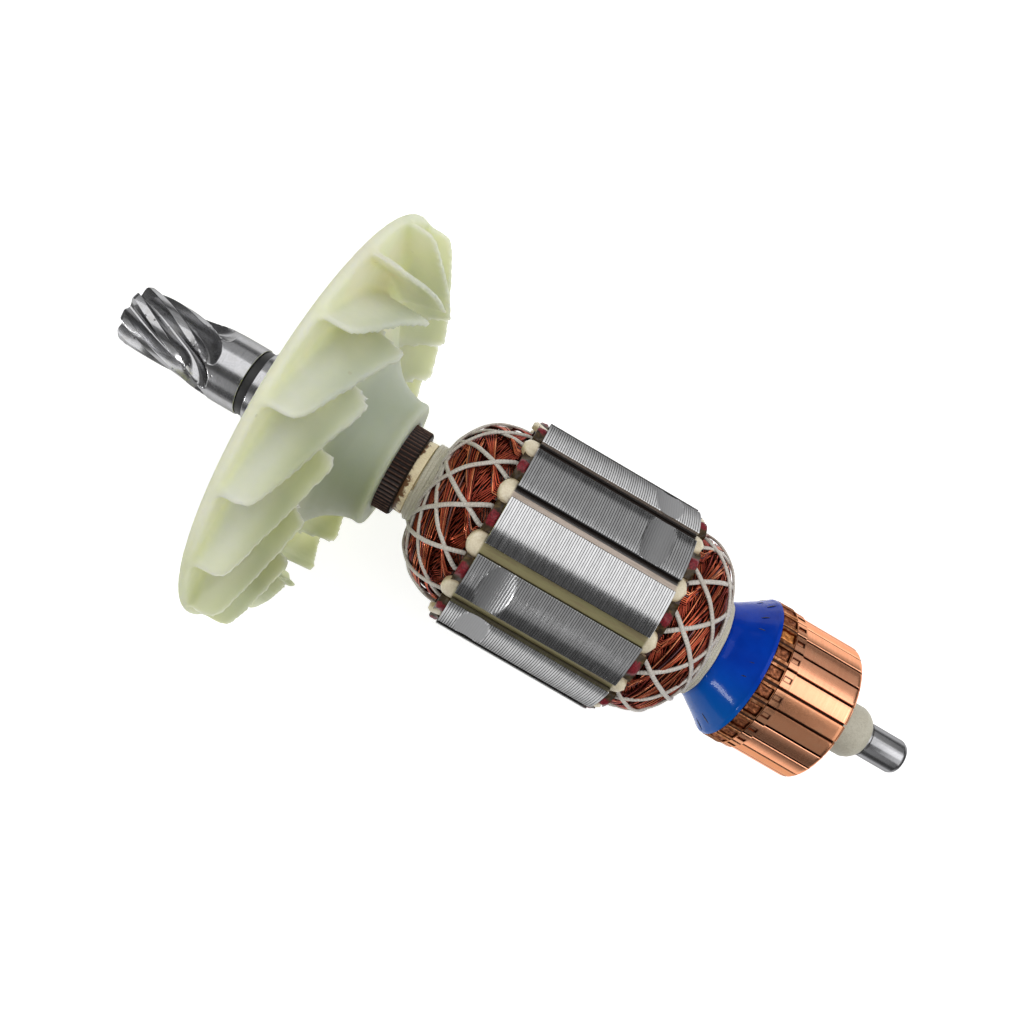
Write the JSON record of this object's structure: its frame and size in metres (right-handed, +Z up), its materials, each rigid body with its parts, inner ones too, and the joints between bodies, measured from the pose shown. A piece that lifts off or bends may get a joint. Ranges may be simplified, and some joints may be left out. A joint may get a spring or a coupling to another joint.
{
  "type": "motor armature",
  "caption": "Motor armature: helical pinion shaft with bearing seats, vaned cooling fan, slotted laminated core, laced copper winding, blue resin cap and copper-bar commutator",
  "frame": {"origin": "on the shaft axis, in the middle of the ground bearing seat behind the pinion", "axes": "+X along the shaft from the pinion to the commutator, +Z up, +Y away; the armature is round about X, and the picture looks down along -Z"},
  "size_m": [0.1934, 0.097, 0.097],
  "materials": {
    "shaft_steel": "ground",
    "seal_rubber": "matt",
    "fan_nylon": "moulded natural nylon",
    "bush_moulding": "moulded",
    "sleeve_paper": "lacquered paper",
    "twine": "lacquered twine",
    "core_steel": "turned sheet edges",
    "end_fibre": "vulcanised fibre",
    "liner_paper": "lacquered paper",
    "wedge_fibre": "lacquered",
    "magnet_wire": "enamelled and lacquered copper",
    "riser_wire": "fused copper wire",
    "blue_resin": "glossy poured resin",
    "bush_steel": "turned",
    "core_moulding": "moulded",
    "bar_copper": "turned copper",
    "mica": "undercut",
    "collar_moulding": "moulded"
  },
  "bodies": {
    "root": {"shaft": "shaft_steel", "seal_ring": "seal_rubber", "fan": "fan_nylon", "fan_bush": "bush_moulding", "drive_end_sleeve": "sleeve_paper", "commutator_end_sleeve": "sleeve_paper", "drive_end_neck_cord": "twine", "commutator_neck_cord": "twine", "drive_end_lacing": "twine", "commutator_end_lacing": "twine", "lamination_stack": "core_steel", "drive_end_plate": "end_fibre", "commutator_end_plate": "end_fibre", "slot_liners": "liner_paper", "slot_wedge_01": "wedge_fibre", "slot_wedge_02": "wedge_fibre", "slot_wedge_03": "wedge_fibre", "slot_wedge_04": "wedge_fibre", "slot_wedge_05": "wedge_fibre", "slot_wedge_06": "wedge_fibre", "slot_wedge_07": "wedge_fibre", "slot_wedge_08": "wedge_fibre", "slot_wedge_09": "wedge_fibre", "slot_wedge_10": "wedge_fibre", "slot_wedge_11": "wedge_fibre", "slot_wedge_12": "wedge_fibre", "winding": "magnet_wire", "riser_wires": "riser_wire", "resin_cap": "blue_resin", "commutator_bush": "bush_steel", "commutator_core": "core_moulding", "commutator_bar_01": "bar_copper", "commutator_bar_02": "bar_copper", "commutator_bar_03": "bar_copper", "commutator_bar_04": "bar_copper", "commutator_bar_05": "bar_copper", "commutator_bar_06": "bar_copper", "commutator_bar_07": "bar_copper", "commutator_bar_08": "bar_copper", "commutator_bar_09": "bar_copper", "commutator_bar_10": "bar_copper", "commutator_bar_11": "bar_copper", "commutator_bar_12": "bar_copper", "commutator_bar_13": "bar_copper", "commutator_bar_14": "bar_copper", "commutator_bar_15": "bar_copper", "commutator_bar_16": "bar_copper", "commutator_bar_17": "bar_copper", "commutator_bar_18": "bar_copper", "commutator_bar_19": "bar_copper", "commutator_bar_20": "bar_copper", "commutator_bar_21": "bar_copper", "commutator_bar_22": "bar_copper", "commutator_bar_23": "bar_copper", "commutator_bar_24": "bar_copper", "mica_separators": "mica", "end_collar": "collar_moulding"}
  },
  "joints": []
}
